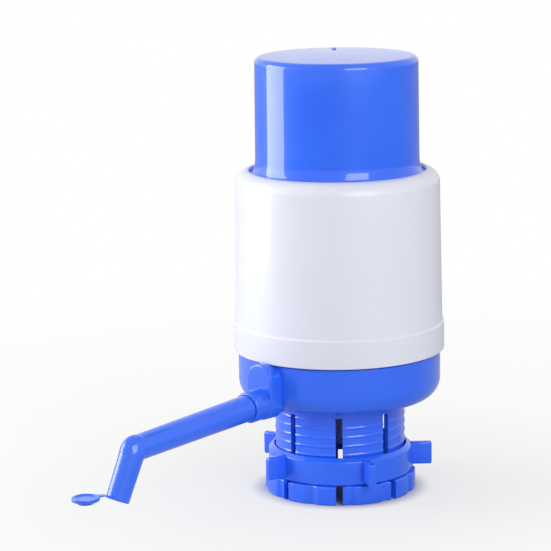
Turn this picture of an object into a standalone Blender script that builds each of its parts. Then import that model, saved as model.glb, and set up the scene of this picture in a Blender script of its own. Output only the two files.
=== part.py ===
"""Hand pump for a water jug: press cap and bellows over a base with a swivel spout and a clamp collar.

The pump stands upright on the foot of its clamp collar, with the spout towards -Y. Every piece hangs
from one empty on the pump's axis, and that empty is moved at the end so that the box round the whole
pump stands centred on the origin. Lengths are in metres.
"""

import math

import bmesh
import bpy
from mathutils import Matrix, Vector

# Fits and cutting
GAP = 0.0003
CUT_OVERRUN = 0.002
MERGE_DISTANCE = 0.00001
LARGE_STEPS = 40
MEDIUM_STEPS = 20
SMALL_STEPS = 20
HOLE_STEPS = 10
SEAL_STEPS = 6
CREASE_ANGLE = math.radians(32)

# Jug neck that the collar grips
JUG_NECK_RADIUS = 0.0275
NECK_PLAY = 0.0002

# Clamp collar: slotted fingers on a lobed foot
COLLAR_WALL = 0.0028
COLLAR_EXPOSED = 0.0350
COLLAR_LEAD_IN = 0.0016
COLLAR_LEAD_IN_HEIGHT = 0.0025
COLLAR_TURN = math.radians(-2.4)
FOOT_FLANGE = 0.0047
FOOT_HEIGHT = 0.0089
FOOT_TOP_CHAMFER = 0.0005
FOOT_BOTTOM_CHAMFER = 0.0009
FINGERS = 8
SLOT_WIDTH = 0.0032
SLOT_TOP_LAND = 0.00235
LOBES = 12
LOBE_TURN = math.radians(20.5)
GROOVE_RADIUS = 0.0036
GROOVE_DEPTH = 0.0013
COLLAR_PLATE = 0.0020
COLLAR_PLATE_DROP = 0.0013
COLLAR_LIP_WIDTH = 0.0035
COLLAR_LIP = 0.0013
AIR_HOLES = 3
AIR_HOLE_RADIUS = 0.0020
AIR_HOLE_MARGIN = 0.0010

# Clamp ring: a nut on the collar with five turning lugs
RING_HEIGHT = 0.0125
RING_WALL = 0.0026
THREAD_PLAY = 0.0005
RING_CHAMFER = 0.0017
RING_BOTTOM_CHAMFER = 0.0004
LUGS = 5
LUG_TURN = math.radians(46)
LUG_REACH = 0.0095
LUG_THICKNESS = 0.0034
LUG_HEIGHT = 0.0108
LUG_RISE = 0.0009
LUG_EDGE = 0.0010
LUG_EDGE_STEPS = 2

# Base housing: rounded cup with the spout socket
BASE_SHOULDER = 0.0161
BASE_WALL = 0.0019
BASE_CORNER = 0.0097
BASE_SHOW = 0.0236
BASE_RIM_RISE = 0.0117
BASE_HOLE_PLAY = 0.0005
LEDGE_WIDTH = 0.0022
LEDGE_DEPTH = 0.0008
CORNER_STEPS = 5

# Spout socket and the pad above it
SPOUT_DROOP = math.radians(4.4)
SOCKET_OVERHANG = 0.0141
SOCKET_MOUTH_RISE = 0.0052
SOCKET_WALL = 0.0013
SOCKET_BORE = 0.0059
SOCKET_DEPTH = 0.0130
SOCKET_STUB = 0.0085
SOCKET_WEB = 0.0030
SOCKET_CHAMFER = 0.0004
PASSAGE_RADIUS = 0.0026
PAD_MARGIN = 0.0005
PAD_PROUD = 0.0061
PAD_TOP_RISE = 0.0005
PAD_ROOT = 0.0013
PAD_EDGE = 0.0006
PAD_EDGE_STEPS = 1
PAD_ARCH_STEPS = 12

# Body shell: white cover over bellows and base rim
SHELL_HEIGHT = 0.0840
SHELL_WALL = 0.0020
SHELL_OVERHANG = 0.0001
SHELL_DRAFT = 0.0010
SHELL_SHOULDER = 0.0062
SHELL_LIP_ROUND = 0.0006
BAND_HEIGHT = 0.0126
BAND_WALL = 0.0016
BAND_STEP = 0.0008
SHOULDER_STEPS = 5
LIP_STEPS = 2

# Press cap
CAP_RISE = 0.0523
CAP_WALL = 0.0020
CAP_INSET = 0.0007
CAP_FLARE = 0.0024
CAP_DRAFT = 0.0003
CAP_TOP_ROUND = 0.0028
CAP_FLARE_START = 0.0060
CAP_FLARE_END = 0.0011
CAP_SKIRT = 0.0040
PUSH_RING_INSET = 0.0018
PUSH_RING_WALL = 0.0020
PUSH_RING_DEPTH = 0.0032
VENT_RADIUS = 0.0008
VENT_INSET = 0.0055
VENT_TURN = math.radians(135.5)
FLARE_STEPS = 4
ROUND_STEPS = 3

# Bellows and what closes it
BELLOWS_FOLDS = 10
BELLOWS_PLAY = 0.0013
BELLOWS_FOLD = 0.0050
BELLOWS_WALL = 0.0009
BELLOWS_FLANGE = 0.0012
BELLOWS_FOOT = 0.0042
BELLOWS_LAND = 0.0053
TOP_PLATE = 0.0020
TOP_PLATE_LIP_WALL = 0.0017
TOP_PLATE_LIP_DEPTH = 0.0016
CLAMP_LAND = 0.0026
CLAMP_INNER_PLAY = 0.0009
CLAMP_SKIRT = 0.0040

# Air deck between the bellows and the chamber under it
DECK = 0.0025
DECK_CLEARANCE = 0.0035
DECK_GROOVE = 0.0012
DECK_SEAL_PLAY = 0.0001
DECK_SEAL_BACK = 0.0006
OUTLET_REACH = 0.0180

# Umbrella valves
VALVE_HEAD_RADIUS = 0.0080
VALVE_HEAD = 0.0011
VALVE_RIM = 0.0005
VALVE_STEM_RADIUS = 0.0012
VALVE_BULB_RADIUS = 0.0020
VALVE_BULB = 0.0011
VALVE_PORTS = 4
VALVE_PORT_RADIUS = 0.0016
VALVE_PORT_REACH = 0.0050
VALVE_LIFT = 0.0008

# Water duct from the dip-tube nipple to the socket
DUCT_WALL = 0.0020
DUCT_BORE = 0.0030
DUCT_DROP = 0.0086
DUCT_RISE_OVER_ARM = 0.0011
DUCT_CROWN = 0.0012
DUCT_FLANGE_WIDTH = 0.0035
DUCT_FLANGE = 0.0015
ARM_WALL = 0.0012
ARM_BORE = 0.0024
ARM_SEAL = 0.0010
ARM_START = 0.0015
CONNECTOR_WALL = 0.0017
CONNECTOR_OVERLAP = 0.0050
CONNECTOR_LENGTH = 0.0170

# Jug seal under the collar's plate
JUG_SEAL = 0.0020

# Spout
SPOUT_STEP = 0.0005
SPOUT_TAPER = 0.0004
SPOUT_TIP_TAPER = 0.00045
SPOUT_LENGTH = 0.0694
SPOUT_BEND = math.radians(60)
SPOUT_TIP_LENGTH = 0.0234
SPOUT_WALL = 0.0014
SPOUT_TIP_WALL = 0.00105
ELBOW_INNER_BEND = 0.00055
ELBOW_STEPS = 8
SWEEP_RESOLUTION = 4
SPIGOT_WALL = 0.00115
SPIGOT_BORE_END = 0.0050
SPIGOT_BORE_FLARE = 0.0030
SPIGOT_END_PLAY = 0.0006
SPIGOT_CHAMFER = 0.0005
SPIGOT_ROOT = 0.0030
SPOUT_GROOVE_START = 0.0045
SPOUT_GROOVE = 0.0018
SPOUT_GROOVE_DEPTH = 0.00135

# Spout cap on its living hinge
STRAP_REACH = 0.0033
HINGE_FILM_HALF = 0.00015
STRAP = 0.0008
STRAP_WIDTH = 0.0036
STRAP_ROOT = 0.0007
SPOUT_CAP_OVERHANG = 0.00085
SPOUT_CAP = 0.0015
SPOUT_CAP_DISH = 0.0006
SPOUT_CAP_RIM = 0.0011
PLUG_TAPER = 0.0003
PLUG_LENGTH = 0.0014
SPOUT_CAP_OPEN = math.radians(154)
SPOUT_CAP_STEPS = 24

# Collar, ring and base, outwards from the jug's neck
COLLAR_BORE = JUG_NECK_RADIUS + NECK_PLAY
COLLAR_RADIUS = COLLAR_BORE + COLLAR_WALL
COLLAR_LIP_RADIUS = COLLAR_RADIUS + COLLAR_LIP_WIDTH
FOOT_RADIUS = COLLAR_RADIUS + FOOT_FLANGE
RING_BOTTOM = FOOT_HEIGHT + GAP
RING_BORE = COLLAR_RADIUS + THREAD_PLAY
RING_RADIUS = RING_BORE + RING_WALL
LUG_TIP_RADIUS = RING_RADIUS + LUG_REACH
BASE_BOTTOM = FOOT_HEIGHT + COLLAR_EXPOSED
BASE_FLOOR = BASE_BOTTOM + BASE_WALL
BASE_HOLE = COLLAR_RADIUS + BASE_HOLE_PLAY
BASE_RADIUS = BASE_HOLE + BASE_SHOULDER
BASE_BORE = BASE_RADIUS - BASE_WALL
PLATE_TOP = BASE_BOTTOM + COLLAR_PLATE_DROP - COLLAR_LIP / 2
PLATE_BOTTOM = PLATE_TOP - COLLAR_PLATE
SHELL_BOTTOM = BASE_BOTTOM + BASE_SHOW
BASE_RIM = SHELL_BOTTOM + BASE_RIM_RISE

# Socket, duct and spout, along the socket's axis
SOCKET_RADIUS = SOCKET_BORE + SOCKET_WALL
SOCKET_INNER_LENGTH = SOCKET_OVERHANG + BASE_WALL + SOCKET_STUB
SOCKET_MOUTH_REACH = BASE_RADIUS + SOCKET_OVERHANG
SOCKET_MOUTH_HEIGHT = BASE_BOTTOM + SOCKET_MOUTH_RISE
PAD_HALF_WIDTH = SOCKET_RADIUS + PAD_MARGIN
PAD_REACH = BASE_RADIUS + PAD_PROUD
AXIS_TO_MOUTH = SOCKET_MOUTH_REACH / math.cos(SPOUT_DROOP)
ARM_START_HEIGHT = SOCKET_MOUTH_HEIGHT + AXIS_TO_MOUTH * math.sin(SPOUT_DROOP)
ARM_RADIUS = ARM_BORE + ARM_WALL
DUCT_RADIUS = DUCT_BORE + DUCT_WALL
DUCT_FLANGE_RADIUS = DUCT_RADIUS + DUCT_FLANGE_WIDTH
DUCT_BOTTOM = PLATE_BOTTOM - DUCT_DROP
DUCT_TOP = ARM_START_HEIGHT + ARM_RADIUS + DUCT_RISE_OVER_ARM
AIR_HOLE_REACH = DUCT_FLANGE_RADIUS + AIR_HOLE_MARGIN + AIR_HOLE_RADIUS
JUG_SEAL_INNER = AIR_HOLE_REACH + AIR_HOLE_RADIUS + AIR_HOLE_MARGIN
SPIGOT_RADIUS = SOCKET_BORE - GAP
SPOUT_GROOVE_RADIUS = SPIGOT_RADIUS - SPOUT_GROOVE_DEPTH
SPOUT_SEAL_SECTION = (SOCKET_BORE - SPOUT_GROOVE_RADIUS) / 2 - GAP
SPIGOT_BORE = SPOUT_GROOVE_RADIUS - SPIGOT_WALL
SPOUT_START_RADIUS = SPIGOT_RADIUS + SPOUT_STEP
SPOUT_ELBOW_RADIUS = SPOUT_START_RADIUS - SPOUT_TAPER
SPOUT_TIP_RADIUS = SPOUT_ELBOW_RADIUS - SPOUT_TIP_TAPER
SPOUT_BORE_START = SPOUT_START_RADIUS - SPOUT_WALL
SPOUT_BORE_END = SPOUT_TIP_RADIUS - SPOUT_TIP_WALL
ELBOW_BEND = SPOUT_ELBOW_RADIUS + ELBOW_INNER_BEND
SPOUT_CAP_RADIUS = SPOUT_TIP_RADIUS + SPOUT_CAP_OVERHANG
PLUG_ROOT_RADIUS = SPOUT_BORE_END - GAP
PLUG_TIP_RADIUS = PLUG_ROOT_RADIUS - PLUG_TAPER
HINGE_REACH = SPOUT_CAP_RADIUS + STRAP_REACH

# Shell, cap and bellows, inwards from the base and upwards from the duct
SHELL_TOP = SHELL_BOTTOM + SHELL_HEIGHT
SHELL_TOP_RADIUS = BASE_RADIUS + SHELL_OVERHANG
SHELL_LOW_RADIUS = SHELL_TOP_RADIUS + SHELL_DRAFT
BAND_BORE = BASE_RADIUS + GAP
BAND_RADIUS = BAND_BORE + BAND_WALL
SHOULDER_CENTRE = (SHELL_TOP_RADIUS - SHELL_SHOULDER, SHELL_TOP - SHELL_SHOULDER)
CAP_SEAT_RADIUS = SHOULDER_CENTRE[0] - CAP_INSET
CAP_SIDE_RADIUS = CAP_SEAT_RADIUS - CAP_FLARE
CAP_TOP_RADIUS = CAP_SIDE_RADIUS - CAP_DRAFT
SHELL_OPENING = CAP_SEAT_RADIUS + GAP
CAP_TOP = SHELL_TOP + CAP_RISE
CAP_CEILING = CAP_TOP - CAP_WALL
BELLOWS_RADIUS = CAP_TOP_RADIUS - CAP_WALL - BELLOWS_PLAY
BELLOWS_VALLEY = BELLOWS_RADIUS - BELLOWS_FOLD
BELLOWS_MOUTH = BELLOWS_VALLEY - BELLOWS_LAND
BELLOWS_FOOT_RADIUS = BELLOWS_RADIUS + BELLOWS_FOOT
PUSH_RING_RADIUS = BELLOWS_VALLEY - PUSH_RING_INSET
VENT_REACH = PUSH_RING_RADIUS - VENT_INSET
TOP_PLATE_TOP = CAP_CEILING - PUSH_RING_DEPTH - GAP
TOP_PLATE_BOTTOM = TOP_PLATE_TOP - TOP_PLATE
BELLOWS_TOP = TOP_PLATE_BOTTOM - GAP
DECK_BOTTOM = DUCT_TOP + DECK_CLEARANCE
DECK_TOP = DECK_BOTTOM + DECK
DECK_RADIUS = BASE_BORE - GAP
DECK_SEAL_SECTION = DECK_GROOVE / 2 - DECK_SEAL_PLAY
DECK_GROOVE_DEPTH = 2 * DECK_SEAL_SECTION + DECK_SEAL_BACK
BELLOWS_BOTTOM = DECK_TOP + GAP

# Finishes: colour and roughness
BLUE_PLASTIC = ((0.060, 0.160, 0.820, 1.0), 0.32)
WHITE_PLASTIC = ((0.860, 0.880, 0.920, 1.0), 0.38)
MILKY_PLASTIC = ((0.700, 0.740, 0.800, 1.0), 0.45)
GREY_RUBBER = ((0.640, 0.650, 0.670, 1.0), 0.70)


def clear_scene():
    for thing in list(bpy.data.objects):
        bpy.data.objects.remove(thing, do_unlink=True)


def make_collection(name):
    collection = bpy.data.collections.new(name)
    bpy.context.scene.collection.children.link(collection)
    return collection


def make_material(name, colour, roughness):
    material = bpy.data.materials.new(name)
    material.use_nodes = True
    shader = material.node_tree.nodes["Principled BSDF"]
    shader.inputs["Base Color"].default_value = colour
    shader.inputs["Roughness"].default_value = roughness
    shader.inputs["Metallic"].default_value = 0
    return material


def make_empty(name, location, parent=None, rotation=(0, 0, 0)):
    empty = bpy.data.objects.new(name, None)
    empty.empty_display_size = FOOT_HEIGHT
    empty.location = location
    empty.rotation_euler = rotation
    empty.parent = parent
    parts.objects.link(empty)
    return empty


def place(name, mesh, parent, location=(0, 0, 0), rotation=(0, 0, 0), guide=False):
    """Makes an object from a mesh, as a piece or as a hidden cutting or joining guide."""
    thing = bpy.data.objects.new(name, mesh)
    thing.parent = parent
    thing.location = location
    thing.rotation_euler = rotation
    if guide:
        cutters.objects.link(thing)
        thing.hide_render = True
        thing.display_type = "WIRE"
    else:
        parts.objects.link(thing)
    return thing


def turned(name, profile, parent, steps, closed=False, location=(0, 0, 0), guide=False):
    """Turns (radius, height) points about Z; they run down the outer side, clockwise when closed."""
    mesh = bpy.data.meshes.new(name)
    edges = [(i, i + 1) for i in range(len(profile) - 1)]
    if closed:
        edges.append((len(profile) - 1, 0))
    mesh.from_pydata([(radius, 0, height) for radius, height in profile], edges, [])
    thing = place(name, mesh, parent, location, guide=guide)
    screw = thing.modifiers.new("turn", "SCREW")
    screw.axis = "Z"
    screw.angle = math.tau
    screw.steps = steps
    screw.render_steps = steps
    screw.use_merge_vertices = True
    screw.merge_threshold = MERGE_DISTANCE
    return thing


def rod_profile(radius, bottom, top):
    return [(0, top), (radius, top), (radius, bottom), (0, bottom)]


def arc(centre_radius, centre_height, radius, start, end, steps):
    """Points of an arc in the profile's plane, from one angle in degrees to another."""
    angles = [math.radians(start + (end - start) * i / steps) for i in range(steps + 1)]
    return [(centre_radius + radius * math.cos(a), centre_height + radius * math.sin(a)) for a in angles]


def box_mesh(name, boxes):
    """One mesh with a box for each (low corner, high corner, turn about Z)."""
    mesh = bpy.data.meshes.new(name)
    shape = bmesh.new()
    for low, high, turn in boxes:
        made = bmesh.ops.create_cube(shape, size=1)["verts"]
        size = Vector(high) - Vector(low)
        middle = (Vector(high) + Vector(low)) / 2
        bmesh.ops.scale(shape, vec=size, verts=made)
        bmesh.ops.translate(shape, vec=middle, verts=made)
        bmesh.ops.rotate(shape, cent=(0, 0, 0), matrix=Matrix.Rotation(turn, 3, "Z"), verts=made)
    shape.to_mesh(mesh)
    shape.free()
    return mesh


def round_cutters(name, places, radius, bottom, top):
    """One mesh with an upright round cutter at each (x, y)."""
    mesh = bpy.data.meshes.new(name)
    shape = bmesh.new()
    for x, y in places:
        made = bmesh.ops.create_cone(
            shape, cap_ends=True, segments=HOLE_STEPS, radius1=radius, radius2=radius, depth=top - bottom
        )["verts"]
        bmesh.ops.translate(shape, vec=(x, y, (top + bottom) / 2), verts=made)
    shape.to_mesh(mesh)
    shape.free()
    return mesh


def combine(part, other, operation):
    boolean = part.modifiers.new(operation.lower(), "BOOLEAN")
    boolean.operation = operation
    boolean.solver = "EXACT"
    boolean.object = other


def cut(part, *others):
    for other in others:
        combine(part, other, "DIFFERENCE")


def join(part, *others):
    for other in others:
        combine(part, other, "UNION")


def finish(part, material):
    """Turns the modifiers into the piece's own mesh and marks its creases."""
    evaluated = part.evaluated_get(bpy.context.evaluated_depsgraph_get())
    shape = bpy.data.meshes.new_from_object(evaluated)
    rough = part.data
    part.modifiers.clear()
    part.data = shape
    bpy.data.meshes.remove(rough)
    shape.name = part.name
    shape.materials.clear()
    shape.materials.append(material)
    shape.shade_smooth()
    shape.set_sharp_from_angle(angle=CREASE_ANGLE)
    return part


def washer(name, inner, outer, bottom, top, parent, material, steps):
    profile = [(inner, top), (outer, top), (outer, bottom), (inner, bottom)]
    return finish(turned(name, profile, parent, steps, closed=True), material)


def o_ring(name, radius, section, height, parent, material):
    bpy.ops.mesh.primitive_torus_add(
        major_radius=radius, minor_radius=section, major_segments=MEDIUM_STEPS, minor_segments=SEAL_STEPS
    )
    ring = bpy.context.object
    for collection in list(ring.users_collection):
        collection.objects.unlink(ring)
    parts.objects.link(ring)
    ring.name = name
    ring.parent = parent
    ring.location = (0, 0, height)
    return finish(ring, material)


def around(count, reach, turn=0):
    angles = [turn + math.tau * i / count for i in range(count)]
    return [(reach * math.cos(a), reach * math.sin(a)) for a in angles]


def clamp_collar(axis, material):
    foot_inner = COLLAR_BORE + COLLAR_LEAD_IN
    lip_top = BASE_FLOOR + GAP + COLLAR_LIP
    nipple_hole = DUCT_RADIUS + GAP
    profile = [
        (COLLAR_BORE, lip_top),
        (COLLAR_LIP_RADIUS, lip_top),
        (COLLAR_LIP_RADIUS, BASE_FLOOR + GAP),
        (COLLAR_RADIUS, BASE_FLOOR + GAP),
        (COLLAR_RADIUS, FOOT_HEIGHT),
        (FOOT_RADIUS - FOOT_TOP_CHAMFER, FOOT_HEIGHT),
        (FOOT_RADIUS, FOOT_HEIGHT - FOOT_TOP_CHAMFER),
        (FOOT_RADIUS, FOOT_BOTTOM_CHAMFER),
        (FOOT_RADIUS - FOOT_BOTTOM_CHAMFER, 0),
        (foot_inner, 0),
        (COLLAR_BORE, COLLAR_LEAD_IN_HEIGHT),
        (COLLAR_BORE, PLATE_BOTTOM),
        (nipple_hole, PLATE_BOTTOM),
        (nipple_hole, PLATE_TOP),
        (COLLAR_BORE, PLATE_TOP),
    ]
    collar = turned("clamp_collar", profile, axis, LARGE_STEPS, closed=True)

    slot_half = SLOT_WIDTH / 2
    slot_low = (COLLAR_BORE - CUT_OVERRUN, -slot_half, -CUT_OVERRUN)
    slot_high = (FOOT_RADIUS + CUT_OVERRUN, slot_half, PLATE_BOTTOM - SLOT_TOP_LAND)
    slots = [(slot_low, slot_high, COLLAR_TURN + math.tau * i / FINGERS) for i in range(FINGERS)]
    grooves = round_cutters(
        "foot_grooves",
        around(LOBES, FOOT_RADIUS - GROOVE_DEPTH + GROOVE_RADIUS, LOBE_TURN),
        GROOVE_RADIUS,
        -CUT_OVERRUN,
        FOOT_HEIGHT + CUT_OVERRUN,
    )
    holes = round_cutters(
        "collar_air_holes",
        around(AIR_HOLES, AIR_HOLE_REACH, math.pi / 2),
        AIR_HOLE_RADIUS,
        PLATE_BOTTOM - CUT_OVERRUN,
        PLATE_TOP + CUT_OVERRUN,
    )
    cut(
        collar,
        place("collar_slots", box_mesh("collar_slots", slots), axis, guide=True),
        place("foot_grooves", grooves, axis, guide=True),
        place("collar_air_holes", holes, axis, guide=True),
    )
    return finish(collar, material)


def clamp_ring(axis, material):
    top = RING_BOTTOM + RING_HEIGHT
    profile = [
        (RING_BORE, top),
        (RING_RADIUS - RING_CHAMFER, top),
        (RING_RADIUS, top - RING_CHAMFER),
        (RING_RADIUS, RING_BOTTOM + RING_BOTTOM_CHAMFER),
        (RING_RADIUS - RING_BOTTOM_CHAMFER, RING_BOTTOM),
        (RING_BORE, RING_BOTTOM),
    ]
    ring = turned("clamp_ring", profile, axis, LARGE_STEPS, closed=True)
    lug_bottom = RING_BOTTOM + LUG_RISE
    low = (RING_RADIUS - RING_WALL / 2, -LUG_THICKNESS / 2, lug_bottom)
    high = (LUG_TIP_RADIUS, LUG_THICKNESS / 2, lug_bottom + LUG_HEIGHT)
    for i in range(LUGS):
        turn = (0, 0, LUG_TURN + math.tau * i / LUGS)
        name = f"ring_lug_{i + 1}"
        lug = place(name, box_mesh(name, [(low, high, 0)]), axis, rotation=turn, guide=True)
        edges = lug.modifiers.new("edges", "BEVEL")
        edges.width = LUG_EDGE
        edges.segments = LUG_EDGE_STEPS
        join(ring, lug)
    return finish(ring, material)


def base_housing(axis, pivot, material):
    corner_centre = (BASE_RADIUS - BASE_CORNER, BASE_BOTTOM + BASE_CORNER)
    ledge_top = DECK_BOTTOM - GAP
    ledge_radius = BASE_BORE - LEDGE_WIDTH
    profile = [(BASE_BORE, BASE_RIM), (BASE_RADIUS, BASE_RIM)]
    profile += arc(*corner_centre, BASE_CORNER, 0, -90, CORNER_STEPS)
    profile += [(BASE_HOLE, BASE_BOTTOM), (BASE_HOLE, BASE_FLOOR)]
    profile += arc(*corner_centre, BASE_CORNER - BASE_WALL, -90, 0, CORNER_STEPS)
    profile += [
        (BASE_BORE, ledge_top - LEDGE_DEPTH - LEDGE_WIDTH),
        (ledge_radius, ledge_top - LEDGE_DEPTH),
        (ledge_radius, ledge_top),
        (BASE_BORE, ledge_top),
    ]
    base = turned("base_housing", profile, axis, LARGE_STEPS, closed=True)

    socket_profile = [
        (0, 0),
        (SOCKET_RADIUS - SOCKET_CHAMFER, 0),
        (SOCKET_RADIUS, -SOCKET_CHAMFER),
        (SOCKET_RADIUS, -SOCKET_INNER_LENGTH),
        (0, -SOCKET_INNER_LENGTH),
    ]
    bore_end = -SOCKET_DEPTH - SOCKET_WEB
    arm_bore = ARM_RADIUS + GAP
    bore_profile = [
        (0, CUT_OVERRUN),
        (SOCKET_BORE, CUT_OVERRUN),
        (SOCKET_BORE, -SOCKET_DEPTH),
        (PASSAGE_RADIUS, -SOCKET_DEPTH),
        (PASSAGE_RADIUS, bore_end),
        (arm_bore, bore_end),
        (arm_bore, -SOCKET_INNER_LENGTH - CUT_OVERRUN),
        (0, -SOCKET_INNER_LENGTH - CUT_OVERRUN),
    ]
    pad = spout_pad(axis)
    band_pocket = rod_profile(BAND_RADIUS + GAP, SHELL_BOTTOM - GAP, BASE_RIM)
    cut(pad, turned("band_pocket", band_pocket, axis, LARGE_STEPS, guide=True))
    join(base, pad, turned("socket_body", socket_profile, pivot, SMALL_STEPS, guide=True))
    cut(base, turned("socket_bore", bore_profile, pivot, SMALL_STEPS, guide=True))
    return finish(base, material)


def spout_pad(axis):
    """Arched pad over the socket: straight sides from the socket's middle up to a round top."""
    face_height = SOCKET_MOUTH_HEIGHT + (SOCKET_MOUTH_REACH - PAD_REACH) * math.tan(SPOUT_DROOP)
    spring_height = SHELL_BOTTOM + PAD_TOP_RISE - PAD_HALF_WIDTH
    root = BASE_BORE + PAD_ROOT / 2
    outline = [(-PAD_HALF_WIDTH, face_height), (PAD_HALF_WIDTH, face_height)]
    outline += arc(0, spring_height, PAD_HALF_WIDTH, 0, 180, PAD_ARCH_STEPS)
    curve = bpy.data.curves.new("spout_pad", "CURVE")
    curve.dimensions = "2D"
    curve.fill_mode = "BOTH"
    curve.extrude = (PAD_REACH - root) / 2 - PAD_EDGE
    curve.bevel_depth = PAD_EDGE
    curve.bevel_resolution = PAD_EDGE_STEPS
    curve.offset = -PAD_EDGE
    spline = curve.splines.new("POLY")
    spline.points.add(len(outline) - 1)
    for point, (across, height) in zip(spline.points, outline):
        point.co = (across, height, 0, 1)
    spline.use_cyclic_u = True
    drawn = bpy.data.objects.new("spout_pad_outline", curve)
    parts.objects.link(drawn)
    drawn.parent = axis
    drawn.location = (0, -(PAD_REACH + root) / 2, 0)
    drawn.rotation_euler = (math.pi / 2, 0, 0)
    return curve_to_mesh(drawn, "spout_pad")


def curve_to_mesh(drawn, name):
    """Makes a curve object a welded mesh guide in the same place."""
    bpy.context.view_layer.update()
    evaluated = drawn.evaluated_get(bpy.context.evaluated_depsgraph_get())
    mesh = bpy.data.meshes.new_from_object(evaluated)
    shape = bmesh.new()
    shape.from_mesh(mesh)
    bmesh.ops.remove_doubles(shape, verts=shape.verts, dist=MERGE_DISTANCE)
    shape.to_mesh(mesh)
    shape.free()
    solid = place(name, mesh, drawn.parent, drawn.location, drawn.rotation_euler, guide=True)
    bpy.data.objects.remove(drawn, do_unlink=True)
    return solid


def body_shell(axis, material):
    band_top = SHELL_BOTTOM + BAND_HEIGHT
    rim_seat = BASE_RIM + GAP
    lip_centre = (SHELL_OPENING + SHELL_LIP_ROUND, SHELL_TOP - SHELL_LIP_ROUND)
    profile = arc(*lip_centre, SHELL_LIP_ROUND, 180, 90, LIP_STEPS)
    profile += arc(*SHOULDER_CENTRE, SHELL_SHOULDER, 90, 0, SHOULDER_STEPS)[1:]
    profile += [
        (SHELL_LOW_RADIUS, band_top + BAND_STEP),
        (BAND_RADIUS, band_top),
        (BAND_RADIUS, SHELL_BOTTOM),
        (BAND_BORE, SHELL_BOTTOM),
        (BAND_BORE, rim_seat),
        (SHELL_LOW_RADIUS - SHELL_WALL, rim_seat),
    ]
    profile += arc(*SHOULDER_CENTRE, SHELL_SHOULDER - SHELL_WALL, 0, 90, SHOULDER_STEPS)
    profile += [(SHELL_OPENING, SHELL_TOP - SHELL_WALL)]
    return finish(turned("body_shell", profile, axis, LARGE_STEPS, closed=True), material)


def press_cap(axis, material):
    flare_top = SHELL_TOP + CAP_FLARE_START
    flare_bottom = SHELL_TOP - CAP_FLARE_END
    flare = []
    for i in range(FLARE_STEPS + 1):
        angle = math.pi / 2 * i / FLARE_STEPS
        spread = (CAP_SEAT_RADIUS - CAP_SIDE_RADIUS) * (1 - math.cos(angle))
        flare.append((CAP_SIDE_RADIUS + spread, flare_top - (flare_top - flare_bottom) * math.sin(angle)))
    push_inner = PUSH_RING_RADIUS - PUSH_RING_WALL
    push_bottom = CAP_CEILING - PUSH_RING_DEPTH
    profile = [(0, CAP_TOP)]
    profile += arc(CAP_TOP_RADIUS - CAP_TOP_ROUND, CAP_TOP - CAP_TOP_ROUND, CAP_TOP_ROUND, 90, 0, ROUND_STEPS)
    profile += flare
    skirt_round = SHELL_SHOULDER - SHELL_WALL - GAP
    skirt_inner = skirt_round - CAP_WALL
    skirt_bottom = SHOULDER_CENTRE[1] - CAP_SKIRT
    profile += [(CAP_SEAT_RADIUS, SHOULDER_CENTRE[1] + skirt_round)]
    profile += arc(*SHOULDER_CENTRE, skirt_round, 90, 0, ROUND_STEPS)
    profile += [
        (SHOULDER_CENTRE[0] + skirt_round, skirt_bottom),
        (SHOULDER_CENTRE[0] + skirt_inner, skirt_bottom),
    ]
    profile += arc(*SHOULDER_CENTRE, skirt_inner, 0, 90, ROUND_STEPS)
    profile += [(CAP_SEAT_RADIUS - CAP_WALL, SHOULDER_CENTRE[1] + skirt_inner)]
    profile += [(radius - CAP_WALL, height) for radius, height in reversed(flare)]
    profile += [
        (CAP_TOP_RADIUS - CAP_WALL, CAP_CEILING),
        (PUSH_RING_RADIUS, CAP_CEILING),
        (PUSH_RING_RADIUS, push_bottom),
        (push_inner, push_bottom),
        (push_inner, CAP_CEILING),
        (0, CAP_CEILING),
    ]
    cap = turned("press_cap", profile, axis, LARGE_STEPS)
    vent_place = [(VENT_REACH * math.cos(VENT_TURN), VENT_REACH * math.sin(VENT_TURN))]
    vent_bottom = CAP_CEILING - CUT_OVERRUN
    vent = round_cutters("cap_vent", vent_place, VENT_RADIUS, vent_bottom, CAP_TOP + CUT_OVERRUN)
    cut(cap, place("cap_vent", vent, axis, guide=True))
    return finish(cap, material)


def bellows(axis, material):
    fold_top = BELLOWS_TOP - BELLOWS_FLANGE
    fold_bottom = BELLOWS_BOTTOM + BELLOWS_FLANGE
    pitch = (fold_top - fold_bottom) / BELLOWS_FOLDS
    folds = [(BELLOWS_VALLEY, fold_top)]
    for i in range(BELLOWS_FOLDS):
        folds.append((BELLOWS_RADIUS, fold_top - (i + 1 / 2) * pitch))
        folds.append((BELLOWS_VALLEY, fold_top - (i + 1) * pitch))
    profile = [(BELLOWS_MOUTH, BELLOWS_TOP), (BELLOWS_VALLEY, BELLOWS_TOP)]
    profile += folds
    profile += [
        (BELLOWS_FOOT_RADIUS, fold_bottom),
        (BELLOWS_FOOT_RADIUS, BELLOWS_BOTTOM),
        (BELLOWS_VALLEY - BELLOWS_WALL, BELLOWS_BOTTOM),
    ]
    profile += [(radius - BELLOWS_WALL, height) for radius, height in reversed(folds)]
    profile += [(BELLOWS_MOUTH, fold_top)]
    return finish(turned("bellows", profile, axis, MEDIUM_STEPS, closed=True), material)


def valve_holes(name, centre, bottom, top, parent):
    """Cutter for a valve's stem hole and the ring of ports round it."""
    across, along = centre
    stem = round_cutters(name + "_stem_hole", [centre], VALVE_STEM_RADIUS + GAP, bottom, top)
    ports = [(across + x, along + y) for x, y in around(VALVE_PORTS, VALVE_PORT_REACH, math.pi / VALVE_PORTS)]
    ring = round_cutters(name + "_ports", ports, VALVE_PORT_RADIUS, bottom, top)
    return [
        place(name + "_stem_hole", stem, parent, guide=True),
        place(name + "_ports", ring, parent, guide=True),
    ]


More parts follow.
